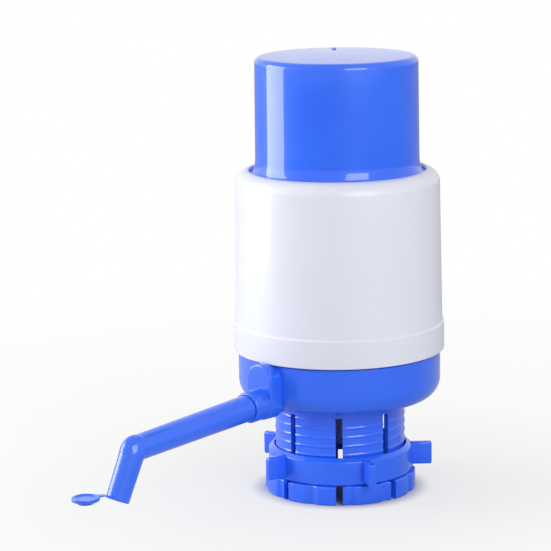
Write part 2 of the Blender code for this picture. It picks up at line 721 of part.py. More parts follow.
def umbrella_valve(name, plate_bottom, plate, parent, material, location=(0, 0, 0)):
    """Rubber mushroom: thin head under the plate, stem through it and a bulb that limits its drop."""
    bulb_bottom = plate_bottom + plate + GAP + VALVE_LIFT
    head_top = plate_bottom - GAP
    profile = [
        (0, bulb_bottom + VALVE_BULB),
        (VALVE_STEM_RADIUS, bulb_bottom + VALVE_BULB),
        (VALVE_BULB_RADIUS, bulb_bottom),
        (VALVE_STEM_RADIUS, bulb_bottom),
        (VALVE_STEM_RADIUS, head_top),
        (VALVE_HEAD_RADIUS, head_top),
        (VALVE_HEAD_RADIUS, head_top - VALVE_RIM),
        (VALVE_BULB_RADIUS, head_top - VALVE_HEAD),
        (0, head_top - VALVE_HEAD),
    ]
    return finish(turned(name, profile, parent, SMALL_STEPS, location=location), material)


def bellows_top_plate(axis, material):
    lip_outer = BELLOWS_MOUTH - GAP
    lip_bottom = TOP_PLATE_BOTTOM - TOP_PLATE_LIP_DEPTH
    profile = [
        (0, TOP_PLATE_TOP),
        (BELLOWS_VALLEY, TOP_PLATE_TOP),
        (BELLOWS_VALLEY, TOP_PLATE_BOTTOM),
        (lip_outer, TOP_PLATE_BOTTOM),
        (lip_outer, lip_bottom),
        (lip_outer - TOP_PLATE_LIP_WALL, lip_bottom),
        (lip_outer - TOP_PLATE_LIP_WALL, TOP_PLATE_BOTTOM),
        (0, TOP_PLATE_BOTTOM),
    ]
    plate = turned("bellows_top_plate", profile, axis, MEDIUM_STEPS)
    holes_bottom = TOP_PLATE_BOTTOM - CUT_OVERRUN
    cut(plate, *valve_holes("inlet", (0, 0), holes_bottom, TOP_PLATE_TOP + CUT_OVERRUN, axis))
    return finish(plate, material)


def bellows_clamp_ring(axis, material):
    inner = BELLOWS_RADIUS + CLAMP_INNER_PLAY
    foot = BELLOWS_FOOT_RADIUS + GAP
    outer = foot + CLAMP_SKIRT
    land = BELLOWS_BOTTOM + BELLOWS_FLANGE + GAP
    profile = [
        (inner, land + CLAMP_LAND),
        (outer, land + CLAMP_LAND),
        (outer, DECK_TOP + GAP),
        (foot, DECK_TOP + GAP),
        (foot, land),
        (inner, land),
    ]
    return finish(turned("bellows_clamp_ring", profile, axis, MEDIUM_STEPS, closed=True), material)


def air_deck(axis, material):
    groove_bottom = DECK_BOTTOM + (DECK - DECK_GROOVE) / 2
    groove_top = groove_bottom + DECK_GROOVE
    groove_radius = DECK_RADIUS - DECK_GROOVE_DEPTH
    profile = [
        (0, DECK_TOP),
        (DECK_RADIUS, DECK_TOP),
        (DECK_RADIUS, groove_top),
        (groove_radius, groove_top),
        (groove_radius, groove_bottom),
        (DECK_RADIUS, groove_bottom),
        (DECK_RADIUS, DECK_BOTTOM),
        (0, DECK_BOTTOM),
    ]
    deck = turned("air_deck", profile, axis, LARGE_STEPS)
    outlet = (0, OUTLET_REACH)
    holes_bottom = DECK_BOTTOM - CUT_OVERRUN
    cut(deck, *valve_holes("outlet", outlet, holes_bottom, DECK_TOP + CUT_OVERRUN, axis))
    return finish(deck, material)


def water_duct(axis, pivot, material):
    flange_bottom = PLATE_TOP + GAP
    profile = [
        (0, DUCT_TOP),
        (DUCT_RADIUS, DUCT_TOP),
        (DUCT_RADIUS, flange_bottom + DUCT_FLANGE),
        (DUCT_FLANGE_RADIUS, flange_bottom + DUCT_FLANGE),
        (DUCT_FLANGE_RADIUS, flange_bottom),
        (DUCT_RADIUS, flange_bottom),
        (DUCT_RADIUS, DUCT_BOTTOM),
        (0, DUCT_BOTTOM),
    ]
    duct = turned("water_duct", profile, axis, SMALL_STEPS)
    arm_end = -SOCKET_DEPTH - SOCKET_WEB - GAP - ARM_SEAL - GAP
    arm_start = ARM_START - AXIS_TO_MOUTH
    arm = rod_profile(ARM_RADIUS, arm_start, arm_end)
    arm_bore = rod_profile(ARM_BORE, arm_start, arm_end + CUT_OVERRUN)
    riser_bore = rod_profile(DUCT_BORE, DUCT_BOTTOM - CUT_OVERRUN, DUCT_TOP - DUCT_CROWN)
    join(duct, turned("duct_arm", arm, pivot, SMALL_STEPS, guide=True))
    cut(
        duct,
        turned("duct_riser_bore", riser_bore, axis, SMALL_STEPS, guide=True),
        turned("duct_arm_bore", arm_bore, pivot, SMALL_STEPS, guide=True),
    )
    return finish(duct, material)


def spout_path(start, end, start_radius, bend_radius, end_radius):
    """Stations of a round sweep along the spout: its middle line and the radius at each point."""
    back = ELBOW_BEND * math.tan(SPOUT_BEND / 2)
    stations = [((0, 0, start), start_radius)]
    for i in range(ELBOW_STEPS + 1):
        angle = SPOUT_BEND * i / ELBOW_STEPS
        rise = ELBOW_BEND * (math.cos(angle) - 1)
        along = SPOUT_LENGTH - back + ELBOW_BEND * math.sin(angle)
        stations.append(((0, rise, along), bend_radius))
    drop = end * math.sin(SPOUT_BEND)
    stations.append(((0, -drop, SPOUT_LENGTH + end * math.cos(SPOUT_BEND)), end_radius))
    return stations


def swept(name, stations, parent):
    """Round sweep through stations of (point, radius), with flat ends, as a guide."""
    curve = bpy.data.curves.new(name, "CURVE")
    curve.dimensions = "3D"
    curve.bevel_depth = stations[0][1]
    curve.bevel_resolution = SWEEP_RESOLUTION
    curve.use_fill_caps = True
    spline = curve.splines.new("POLY")
    spline.points.add(len(stations) - 1)
    for point, (place_of_point, radius) in zip(spline.points, stations):
        point.co = (*place_of_point, 1)
        point.radius = radius / curve.bevel_depth
    drawn = bpy.data.objects.new(name + "_line", curve)
    parts.objects.link(drawn)
    drawn.parent = parent
    return curve_to_mesh(drawn, name)


def spout(pivot, tip, material):
    groove_start = -SPOUT_GROOVE_START
    groove_end = groove_start - SPOUT_GROOVE
    spigot_end = SPIGOT_END_PLAY - SOCKET_DEPTH
    spigot = [
        (0, SPIGOT_ROOT),
        (SPIGOT_RADIUS, SPIGOT_ROOT),
        (SPIGOT_RADIUS, groove_start),
        (SPOUT_GROOVE_RADIUS, groove_start),
        (SPOUT_GROOVE_RADIUS, groove_end),
        (SPIGOT_RADIUS, groove_end),
        (SPIGOT_RADIUS, spigot_end + SPIGOT_CHAMFER),
        (SPIGOT_RADIUS - SPIGOT_CHAMFER, spigot_end),
        (0, spigot_end),
    ]
    tube = spout_path(GAP, SPOUT_TIP_LENGTH, SPOUT_START_RADIUS, SPOUT_ELBOW_RADIUS, SPOUT_TIP_RADIUS)
    bore_end = SPOUT_TIP_LENGTH + CUT_OVERRUN
    bore = [((0, 0, spigot_end - CUT_OVERRUN), SPIGOT_BORE), ((0, 0, SPIGOT_BORE_END), SPIGOT_BORE)]
    bore += spout_path(
        SPIGOT_BORE_END + SPIGOT_BORE_FLARE, bore_end, SPOUT_BORE_START, SPOUT_BORE_END, SPOUT_BORE_END
    )
    strap_top = SPOUT_TIP_LENGTH - HINGE_FILM_HALF
    strap_low = (-STRAP_WIDTH / 2, SPOUT_TIP_RADIUS - STRAP_ROOT, strap_top - STRAP)
    strap_high = (STRAP_WIDTH / 2, HINGE_REACH - HINGE_FILM_HALF, strap_top)
    body = turned("spout", spigot, pivot, SMALL_STEPS)
    join(
        body,
        swept("spout_tube", tube, pivot),
        place("spout_strap", box_mesh("spout_strap", [(strap_low, strap_high, 0)]), tip, guide=True),
    )
    cut(body, swept("spout_bore", bore, pivot))
    return finish(body, material)


def spout_cap(hinge, material):
    face = HINGE_FILM_HALF
    outer = face + SPOUT_CAP
    dish_radius = SPOUT_CAP_RADIUS - SPOUT_CAP_RIM
    profile = [
        (0, outer - SPOUT_CAP_DISH),
        (dish_radius - SPOUT_CAP_DISH, outer - SPOUT_CAP_DISH),
        (dish_radius, outer),
        (SPOUT_CAP_RADIUS, outer),
        (SPOUT_CAP_RADIUS, face),
        (PLUG_ROOT_RADIUS, face),
        (PLUG_TIP_RADIUS, face - PLUG_LENGTH),
        (0, face - PLUG_LENGTH),
    ]
    strap_low = (-STRAP_WIDTH / 2, SPOUT_CAP_RADIUS - STRAP_ROOT, face)
    strap_high = (STRAP_WIDTH / 2, HINGE_REACH - HINGE_FILM_HALF, face + STRAP)
    cap = turned("spout_cap", profile, hinge, SPOUT_CAP_STEPS, location=(0, -HINGE_REACH, 0))
    strap = place(
        "cap_strap",
        box_mesh("cap_strap", [(strap_low, strap_high, 0)]),
        hinge,
        location=(0, -HINGE_REACH, 0),
        guide=True,
    )
    join(cap, strap)
    return finish(cap, material)


def centre_on_box(axis):
    """Moves the whole pump so that its box is centred over the origin."""
    bpy.context.view_layer.update()
    corners = [
        thing.matrix_world @ Vector(corner)
        for thing in parts.objects
        if thing.type == "MESH"
        for corner in thing.bound_box
    ]
    for way in (0, 1):
        low = min(corner[way] for corner in corners)
        high = max(corner[way] for corner in corners)
        axis.location[way] -= (low + high) / 2


def build():
    blue = make_material("blue_plastic", *BLUE_PLASTIC)
    white = make_material("white_plastic", *WHITE_PLASTIC)
    milky = make_material("milky_plastic", *MILKY_PLASTIC)
    rubber = make_material("grey_rubber", *GREY_RUBBER)

    axis = make_empty("pump_axis", (0, 0, 0))
    pivot = make_empty(
        "spout_pivot",
        (0, -SOCKET_MOUTH_REACH, SOCKET_MOUTH_HEIGHT),
        axis,
        (math.pi / 2 + SPOUT_DROOP, 0, 0),
    )
    tip = make_empty("spout_elbow", (0, 0, SPOUT_LENGTH), pivot, (SPOUT_BEND, 0, 0))
    hinge = make_empty(
        "cap_hinge", (0, HINGE_REACH, SPOUT_TIP_LENGTH + HINGE_FILM_HALF), tip, (-SPOUT_CAP_OPEN, 0, 0)
    )
    bpy.context.view_layer.update()

    clamp_collar(axis, blue)
    clamp_ring(axis, blue)
    base_housing(axis, pivot, blue)
    body_shell(axis, white)
    press_cap(axis, blue)

    bellows(axis, milky)
    bellows_top_plate(axis, white)
    bellows_clamp_ring(axis, white)
    air_deck(axis, white)
    umbrella_valve("inlet_valve", TOP_PLATE_BOTTOM, TOP_PLATE, axis, rubber)
    umbrella_valve("outlet_valve", DECK_BOTTOM, DECK, axis, rubber, (0, OUTLET_REACH, 0))
    seal_radius = DECK_RADIUS - DECK_SEAL_SECTION
    o_ring("deck_seal", seal_radius, DECK_SEAL_SECTION, DECK_BOTTOM + DECK / 2, axis, rubber)

    water_duct(axis, pivot, white)
    seal_bottom = -SOCKET_DEPTH - SOCKET_WEB - GAP - ARM_SEAL
    washer("duct_seal", ARM_BORE, ARM_RADIUS, seal_bottom, seal_bottom + ARM_SEAL, pivot, rubber, SMALL_STEPS)
    connector_top = DUCT_BOTTOM + CONNECTOR_OVERLAP
    connector_bore = DUCT_RADIUS + GAP
    washer(
        "tube_connector",
        connector_bore,
        connector_bore + CONNECTOR_WALL,
        connector_top - CONNECTOR_LENGTH,
        connector_top,
        axis,
        rubber,
        SMALL_STEPS,
    )
    seal_top = PLATE_BOTTOM - GAP
    seal_outer = COLLAR_BORE - GAP
    washer("jug_seal", JUG_SEAL_INNER, seal_outer, seal_top - JUG_SEAL, seal_top, axis, rubber, MEDIUM_STEPS)

    spout(pivot, tip, blue)
    groove_middle = -SPOUT_GROOVE_START - SPOUT_GROOVE / 2
    ring_radius = SPOUT_GROOVE_RADIUS + GAP + SPOUT_SEAL_SECTION
    o_ring("spout_seal", ring_radius, SPOUT_SEAL_SECTION, groove_middle, pivot, rubber)
    spout_cap(hinge, blue)
    centre_on_box(axis)


clear_scene()
parts = make_collection("water_jug_hand_pump")
cutters = make_collection("cutters")
cutters.hide_render = True
build()
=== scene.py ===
import math

import bpy
import bmesh
import numpy as np
from mathutils import Matrix, Vector


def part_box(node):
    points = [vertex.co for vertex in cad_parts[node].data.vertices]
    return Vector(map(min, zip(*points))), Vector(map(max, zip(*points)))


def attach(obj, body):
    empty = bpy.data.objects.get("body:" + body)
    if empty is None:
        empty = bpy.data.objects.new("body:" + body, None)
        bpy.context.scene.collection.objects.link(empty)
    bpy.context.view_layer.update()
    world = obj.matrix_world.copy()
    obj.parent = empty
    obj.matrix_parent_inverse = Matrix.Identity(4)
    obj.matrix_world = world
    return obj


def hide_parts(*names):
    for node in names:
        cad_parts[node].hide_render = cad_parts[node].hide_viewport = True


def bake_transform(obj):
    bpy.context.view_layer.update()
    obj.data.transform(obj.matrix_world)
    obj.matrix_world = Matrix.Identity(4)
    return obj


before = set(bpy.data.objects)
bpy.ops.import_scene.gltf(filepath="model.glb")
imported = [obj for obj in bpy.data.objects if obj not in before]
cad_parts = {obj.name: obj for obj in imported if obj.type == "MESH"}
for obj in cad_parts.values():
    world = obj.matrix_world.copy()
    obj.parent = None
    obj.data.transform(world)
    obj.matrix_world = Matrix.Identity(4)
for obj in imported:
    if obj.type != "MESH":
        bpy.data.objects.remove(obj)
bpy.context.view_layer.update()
mm = 0.001
weld = 0.000002  # corners nearer than this, in metres, become one

shellLow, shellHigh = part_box("body_shell")
axisY = (shellLow.y + shellHigh.y) / 2  # the pump's axis stands at x 0, y axisY


# Small geometry kit

def roundedLoop(corners, steps=5, closed=True):
    # Each corner (radius, height, rounding) in mm becomes an arc that touches both of its sides:
    # the arc starts and ends at rounding / tan(half the corner's angle) from the corner.
    spots = np.array([c[:2] for c in corners], float)
    rounding = np.array([c[2] if len(c) > 2 else 0.0 for c in corners])
    before, after = np.roll(spots, 1, 0) - spots, np.roll(spots, -1, 0) - spots
    out = []
    for i, spot in enumerate(spots):
        ends = not closed and i in (0, len(spots) - 1)
        if rounding[i] <= 0 or ends:
            out.append(spot[None])
            continue
        a = before[i] / np.linalg.norm(before[i])
        b = after[i] / np.linalg.norm(after[i])
        half = math.acos(np.clip(a @ b, -1, 1)) / 2
        back = rounding[i] / math.tan(half)
        middle = spot + (a + b) / np.linalg.norm(a + b) * rounding[i] / math.sin(half)
        first, last = spot + a * back - middle, spot + b * back - middle
        t = np.linspace(0, 1, steps)[:, None]
        way = first * (1 - t) + last * t
        out.append(middle + way / np.linalg.norm(way, axis=1)[:, None] * rounding[i])
    return np.vstack(out)


def gridQuads(rows, columns, closeRows, closeColumns):
    # Quads between neighbouring rows and columns, numbered row by row, seen from outside anticlockwise.
    j = np.arange(rows if closeRows else rows - 1)
    i = np.arange(columns if closeColumns else columns - 1)
    j, i = np.meshgrid(j, i, indexing="ij")
    j2, i2 = (j + 1) % rows, (i + 1) % columns
    quads = np.stack((j * columns + i, j2 * columns + i, j2 * columns + i2, j * columns + i2), -1)
    return quads.reshape(-1, 4).tolist()


def turned(loop, steps=192, closed=True):
    # A point at turn a is (radius cos a, radius sin a, height) for each point of the profile.
    turn = np.linspace(0, 2 * math.pi, steps, endpoint=False)
    radius, height = loop[:, 0][:, None], loop[:, 1][:, None]
    grid = np.stack((radius * np.cos(turn), radius * np.sin(turn), height + 0 * turn), -1)
    return grid.reshape(-1, 3), gridQuads(len(loop), steps, closed, True)


def joinShapes(shapes):
    spots, faces, count = [], [], 0
    for shapeSpots, shapeFaces in shapes:
        spots.append(shapeSpots)
        faces += [[k + count for k in face] for face in shapeFaces]
        count += len(shapeSpots)
    return np.vstack(spots), faces


def placed(spots, place, turns=()):
    # Turns the points about X, Y or Z in the order given, then moves them to their place, in mm.
    out = np.array(spots, float)
    for axisName, degrees in turns:
        c, s = math.cos(math.radians(degrees)), math.sin(math.radians(degrees))
        spin = {
            "X": [[1, 0, 0], [0, c, -s], [0, s, c]],
            "Y": [[c, 0, s], [0, 1, 0], [-s, 0, c]],
            "Z": [[c, -s, 0], [s, c, 0], [0, 0, 1]],
        }[axisName]
        out = out @ np.array(spin).T
    return out + np.array(place, float)


def makePiece(name, shape, body, nodes, material, sharp=35):
    spots, faces = shape
    spots = np.array(spots, float) * mm
    spots[:, 1] += axisY
    mesh = bpy.data.meshes.new(name)
    mesh.from_pydata(spots, [], faces)
    knit = bmesh.new()
    knit.from_mesh(mesh)
    bmesh.ops.remove_doubles(knit, verts=knit.verts, dist=weld)
    bmesh.ops.dissolve_degenerate(knit, edges=knit.edges, dist=weld)
    knit.to_mesh(mesh)
    knit.free()
    mesh.shade_smooth()
    mesh.set_sharp_from_angle(angle=math.radians(sharp))
    mesh.materials.append(material)
    piece = bpy.data.objects.new(name, mesh)
    bpy.context.scene.collection.objects.link(piece)
    if body:
        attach(piece, body)
    if nodes:
        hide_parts(*nodes)
    return piece


# Finishes

def mouldedPlastic(name, look):
    material = bpy.data.materials.new(name)
    material.use_nodes = True
    tree = material.node_tree
    shader = tree.nodes["Principled BSDF"]
    shader.inputs["Metallic"].default_value = 0.0
    shader.inputs["Specular IOR Level"].default_value = look["specular"]
    shader.inputs["Coat Weight"].default_value = look["coat"]
    shader.inputs["Coat Roughness"].default_value = look["coatRoughness"]
    shader.inputs["Subsurface Weight"].default_value = look["depth"]
    shader.inputs["Subsurface Radius"].default_value = look["depthRadius"]
    shader.inputs["Subsurface Scale"].default_value = look["depthScale"]
    where = tree.nodes.new("ShaderNodeTexCoord")

    def noise(scale, detail, stretch=None):
        pattern = tree.nodes.new("ShaderNodeTexNoise")
        pattern.inputs["Scale"].default_value = scale
        pattern.inputs["Detail"].default_value = detail
        if stretch:
            mapping = tree.nodes.new("ShaderNodeMapping")
            mapping.inputs["Scale"].default_value = stretch
            tree.links.new(where.outputs["Object"], mapping.inputs["Vector"])
            tree.links.new(mapping.outputs["Vector"], pattern.inputs["Vector"])
        else:
            tree.links.new(where.outputs["Object"], pattern.inputs["Vector"])
        return pattern.outputs["Fac"]

    def ranged(value, fromRange, toRange):
        scaled = tree.nodes.new("ShaderNodeMapRange")
        scaled.inputs["From Min"].default_value, scaled.inputs["From Max"].default_value = fromRange
        scaled.inputs["To Min"].default_value, scaled.inputs["To Max"].default_value = toRange
        tree.links.new(value, scaled.inputs["Value"])
        return scaled.outputs["Result"]

    def bump(height, strength, distance):
        relief = tree.nodes.new("ShaderNodeBump")
        relief.inputs["Strength"].default_value = strength
        relief.inputs["Distance"].default_value = distance
        tree.links.new(height, relief.inputs["Height"])
        return relief

    # cloudy colour: two close shades of the resin, mixed by a slow noise
    clouds = ranged(noise(look["cloudScale"], look["cloudDetail"]), look["cloudRange"], (0.0, 1.0))
    mix = tree.nodes.new("ShaderNodeMix")
    mix.data_type = "RGBA"
    mix.inputs["A"].default_value = (*look["colour"], 1)
    mix.inputs["B"].default_value = (*look["colour2"], 1)
    tree.links.new(clouds, mix.inputs["Factor"])
    tree.links.new(mix.outputs["Result"], shader.inputs["Base Color"])

    # handling marks: roughness goes up in fine upright streaks and soft patches
    streaks = noise(look["streakScale"], look["streakDetail"], look["streakStretch"])
    tree.links.new(ranged(streaks, look["streakRange"], look["roughness"]), shader.inputs["Roughness"])

    # mould skin: a fine orange peel over a slow sink of the wall
    fine = bump(noise(look["peelScale"], look["peelDetail"]), look["peelStrength"], look["peelHeight"])
    slow = bump(noise(look["sinkScale"], look["sinkDetail"]), look["sinkStrength"], look["sinkHeight"])
    tree.links.new(fine.outputs["Normal"], slow.inputs["Normal"])
    tree.links.new(slow.outputs["Normal"], shader.inputs["Normal"])
    return material


mouldLook = {
    "cloudDetail": 3.0, "cloudRange": (0.35, 0.65),
    "streakScale": 40.0, "streakStretch": (2.0, 2.0, 0.5), "streakDetail": 2.0, "streakRange": (0.3, 0.75),
    "peelScale": 1500.0, "peelDetail": 2.0, "peelStrength": 0.06, "peelHeight": 0.00005,
    "sinkScale": 30.0, "sinkDetail": 1.0, "sinkStrength": 0.05, "sinkHeight": 0.0004,
}
blueLook = dict(
    mouldLook, colour=(0.018, 0.135, 0.910), colour2=(0.024, 0.148, 0.935), cloudScale=35.0,
    roughness=(0.36, 0.46), specular=0.22, coat=0.9, coatRoughness=0.07,
    depth=0.10, depthRadius=(0.2, 0.4, 1.0), depthScale=0.003,
)
whiteLook = dict(
    mouldLook, colour=(0.740, 0.755, 0.850), colour2=(0.755, 0.770, 0.865), cloudScale=20.0,
    roughness=(0.38, 0.46), specular=0.40, coat=0.3, coatRoughness=0.15,
    depth=0.25, depthRadius=(1.0, 1.0, 1.0), depthScale=0.003,
)
milkyLook = dict(
    whiteLook, colour=(0.700, 0.730, 0.780), colour2=(0.740, 0.765, 0.800), roughness=(0.36, 0.48), depth=0.5,
)
# Silicone parts: a pale silicone given a strong blue tint. The blue is painted light, standing in for the
# blue bounce light that falls on them inside the blue collar.
siliconeWithPaintedBlueLightLook = dict(
    whiteLook, colour=(0.360, 0.470, 0.860), colour2=(0.400, 0.510, 0.880), roughness=(0.48, 0.62),
    coat=0.0, depth=0.4, peelScale=900.0, peelStrength=0.2,
)

bluePlastic = mouldedPlastic("bluePlastic", blueLook)
whitePlastic = mouldedPlastic("whitePlastic", whiteLook)
milkyPlastic = mouldedPlastic("milkyPlastic", milkyLook)
# painted blue light: the silicone's blue tint stands in for the blue bounce light inside the collar
siliconeWithPaintedBlueLight = mouldedPlastic("siliconeWithPaintedBlueLight", siliconeWithPaintedBlueLightLook)
print("finishes made")

for nodeName, material in {
    "bellows_top_plate": whitePlastic, "bellows_clamp_ring": whitePlastic,
    "air_deck": whitePlastic, "inlet_valve": siliconeWithPaintedBlueLight, "outlet_valve": siliconeWithPaintedBlueLight,
    "deck_seal": siliconeWithPaintedBlueLight, "duct_seal": siliconeWithPaintedBlueLight, "water_duct": whitePlastic,
    "spout_seal": siliconeWithPaintedBlueLight,
}.items():
    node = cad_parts[nodeName]
    node.data.materials.clear()
    node.data.materials.append(material)


# Press cap

cap = {
    "top": 203.8, "topRadius": 37.6, "topRound": 2.8, "sideRadius": 37.9, "seatRadius": 40.3,
    "flareTop": 157.5, "flareBottom": 150.4, "wall": 2.0, "skirtCentre": (41.0, 145.3), "skirtRound": 3.9,
    "skirtBottom": 141.3, "pushRadius": 27.5, "pushWall": 2.0, "pushDrop": 3.2,
    "skirtCorner": 3.861, "skirtEdge": 0.4, "skirtInside": 1.8, "flareSteps": 14, "columns": 224,
    "ventSpot": (-15.69, 15.42), "ventRadius": 0.8, "ventReach": 6.0,
}


def pressCap():
    # Profile from the top's middle, round the edge, down the drafted side and out along a flare:
    # the flare's radius grows by (1 - cos t) while its height falls by sin t. The inside runs one wall
    # further in.
    c = cap
    t = np.linspace(0, math.pi / 2, c["flareSteps"])
    flare = np.column_stack((
        c["sideRadius"] + (c["seatRadius"] - c["sideRadius"]) * (1 - np.cos(t)),
        c["flareTop"] - (c["flareTop"] - c["flareBottom"]) * np.sin(t),
    ))
    edge = [(0, c["top"]), (c["topRadius"], c["top"], c["topRound"]), tuple(flare[0])]
    top = roundedLoop(edge, 9, closed=False)[:-1]
    skirtOuter, skirtTop = (centre + c["skirtRound"] for centre in c["skirtCentre"])
    skirtInner, skirtUnder = skirtOuter - c["wall"], skirtTop - c["wall"]
    skirt = roundedLoop([
        (c["seatRadius"], skirtTop),
        (skirtOuter, skirtTop, c["skirtCorner"]),
        (skirtOuter, c["skirtBottom"], c["skirtEdge"]),
        (skirtInner, c["skirtBottom"], c["skirtEdge"]),
        (skirtInner, skirtUnder, c["skirtInside"]),
        (c["seatRadius"] - c["wall"], skirtUnder),
    ], 6, closed=False)
    inner = flare[::-1] - (c["wall"], 0)
    push = c["pushRadius"]
    ceiling = c["top"] - c["wall"]
    under = np.array([
        (c["topRadius"] - c["wall"], ceiling), (push, ceiling), (push, ceiling - c["pushDrop"]),
        (push - c["pushWall"], ceiling - c["pushDrop"]), (push - c["pushWall"], ceiling), (0, ceiling),
    ])
    return turned(np.vstack((top, flare, skirt, inner, under)), c["columns"], closed=False)


def ventPin():
    # A plain round pin through the top, wide as the vent.
    radius, reach = cap["ventRadius"], cap["ventReach"]
    spots, faces = turned(np.array([(0, reach), (radius, reach), (radius, -reach), (0, -reach)]), 32, False)
    return placed(spots, (*cap["ventSpot"], cap["top"])), faces


capPiece = makePiece("pressCap", pressCap(), "cap", ["press_cap"], bluePlastic)
ventTool = makePiece("ventTool", ventPin(), None, [], bluePlastic)
vent = capPiece.modifiers.new("vent", "BOOLEAN")
vent.object = ventTool
vent.solver = "EXACT"
bpy.context.view_layer.update()
capMesh = bpy.data.meshes.new_from_object(capPiece.evaluated_get(bpy.context.evaluated_depsgraph_get()))
capPiece.modifiers.clear()
capPiece.data = capMesh
bpy.data.objects.remove(ventTool)
print("press cap made")


# Bellows: folds turned between base and cap

bellowsLow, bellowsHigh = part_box("bellows")
bellows = {
    "folds": 10, "radius": 34.3, "valley": 29.3, "mouth": 24.0, "footRadius": 38.5, "wall": 0.9,
    "flange": 1.2, "foldRound": 0.7, "edge": 0.2, "footEdge": 0.3, "innerEdge": 0.1, "columns": 128,
    "bottom": bellowsLow.z / mm, "top": bellowsHigh.z / mm,
}


def foldedBellows():
    # Crests and valleys in turn: crest i stands (i + 1/2) pitches under the top flange and valley i (i + 1)
    # pitches under it. The inside is the same line, one wall further in.
    b = bellows
    foldTop, foldBottom = b["top"] - b["flange"], b["bottom"] + b["flange"]
    pitch = (foldTop - foldBottom) / b["folds"]
    line = [(b["valley"], foldTop)]
    for i in range(b["folds"]):
        line += [(b["radius"], foldTop - (i + 0.5) * pitch), (b["valley"], foldTop - (i + 1) * pitch)]
    outside = [(radius, height, b["foldRound"]) for radius, height in line[1:-1]]
    inside = [(radius - b["wall"], height, b["foldRound"]) for radius, height in line[::-1]]
    edge, footEdge, foot, innerValley = b["edge"], b["footEdge"], b["footRadius"], b["valley"] - b["wall"]
    loop = [(b["mouth"], b["top"], edge), (b["valley"], b["top"], edge), (*line[0], edge)] + outside
    loop += [(*line[-1], edge), (foot, foldBottom, footEdge), (foot, b["bottom"], footEdge)]
    loop += [(innerValley, b["bottom"], b["innerEdge"])] + inside[:-1]
    loop += [(innerValley, foldTop, edge), (b["mouth"], foldTop, edge)]
    return turned(roundedLoop(loop, 5), b["columns"])


bellowsPiece = makePiece(
    "bellowsFolds", foldedBellows(), None, ["bellows"], milkyPlastic)
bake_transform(bellowsPiece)
print("bellows made")


# Body shell

shell = {
    "top": 151.5, "bottom": 67.5, "opening": 40.7, "lip": 1.0, "topRadius": 47.2, "lowRadius": 48.2,
    "shoulder": 6.2, "wall": 2.0, "bandTop": 80.1, "bandStep": 0.9, "bandRadius": 49.0,
    "rimSeat": 79.5, "bandBore": 47.4, "stepRound": 0.25, "edge": 0.3, "boreEdge": 0.2, "columns": 256,
}


def bodyShell():
    # Upright wall from a rolled opening over a round shoulder down to the stepped band, and back up inside.
    s = shell
    loop = roundedLoop([
        (s["opening"], s["top"], s["lip"]),
        (s["topRadius"], s["top"], s["shoulder"]),
        (s["lowRadius"], s["bandTop"] + s["bandStep"], s["stepRound"]),
        (s["bandRadius"], s["bandTop"], s["edge"]),
        (s["bandRadius"], s["bottom"], s["edge"]),
        (s["bandBore"], s["bottom"], s["boreEdge"]),
        (s["bandBore"], s["rimSeat"]),
        (s["lowRadius"] - s["wall"], s["rimSeat"]),
        (s["topRadius"] - s["wall"], s["top"] - s["wall"], s["shoulder"] - s["wall"]),
        (s["opening"], s["top"] - s["wall"], s["edge"]),
    ], 12)
    return turned(loop, s["columns"])


makePiece("bodyShell", bodyShell(), "base", ["body_shell"], whitePlastic)
print("body shell made")


# Base housing

base = {
    "bottom": 43.9, "radius": 47.1, "wall": 1.9, "corner": 9.7, "rim": 79.2, "hole": 31.0,
    "padHalf": 7.7, "padReach": 53.2, "padTop": 68.0, "padRound": 0.9, "padPocket": 67.2, "padClear": 49.35,
    "socketReach": 61.2, "socketHeight": 49.1, "droop": 4.4, "socketRadius": 7.2, "socketBore": 5.9,
    "socketDepth": 13.0, "socketLength": 20.0, "seam": 66.6, "seamHigh": 2.0, "seamDeep": 0.7,
    "seamSlope": 0.4, "seamEdge": 0.1, "seamLip": 0.15, "edge": 0.2, "holeEdge": 0.4, "mouthRound": 0.9,
    "padRoot": 45.6, "padColumns": 96, "columns": 256,
}


def spoutPad():
    # Stadium outline (arch above, round below along the socket) carried outwards: each row keeps the outline,
    # shrunk towards its middle by (1 - cos t) of the edge rounding while the reach grows by its sin t.
    # Under the shell's band the first rows stay low, and further out the arch rises past the band's edge.
    b = base
    turn = np.linspace(0, 2 * math.pi, b["padColumns"], endpoint=False)
    low = b["socketHeight"] + (b["socketReach"] - b["padReach"]) * math.tan(math.radians(b["droop"]))
    high = b["padTop"] - b["padHalf"]
    t = np.linspace(0, math.pi / 2, 7)
    shrink = np.concatenate(([0, 0, 0], b["padRound"] * (1 - np.cos(t)), [b["padHalf"] * 0.5, b["padHalf"]]))
    reach = np.concatenate((
        [b["padRoot"], b["padClear"], b["padClear"]],
        b["padReach"] - b["padRound"] + b["padRound"] * np.sin(t),
        [b["padReach"], b["padReach"]]))
    half = (b["padHalf"] - shrink)[:, None]
    across = half * np.cos(turn)
    height = np.where(np.sin(turn) >= 0, high, low) + half * np.sin(turn)
    height[:2] = np.minimum(height[:2], b["padPocket"])
    out = reach[:, None] + 0 * turn
    out[1:3] = np.sqrt(b["padClear"] ** 2 - across[1:3] ** 2)
    grid = np.stack((across, -out, height), -1)
    faces = [face[::-1] for face in gridQuads(len(reach), len(turn), False, True)]
    faces.append(list(range(len(turn))))
    # the last row has shrunk to the line between the two round ends, so opposite points close it
    return grid.reshape(-1, 3), faces


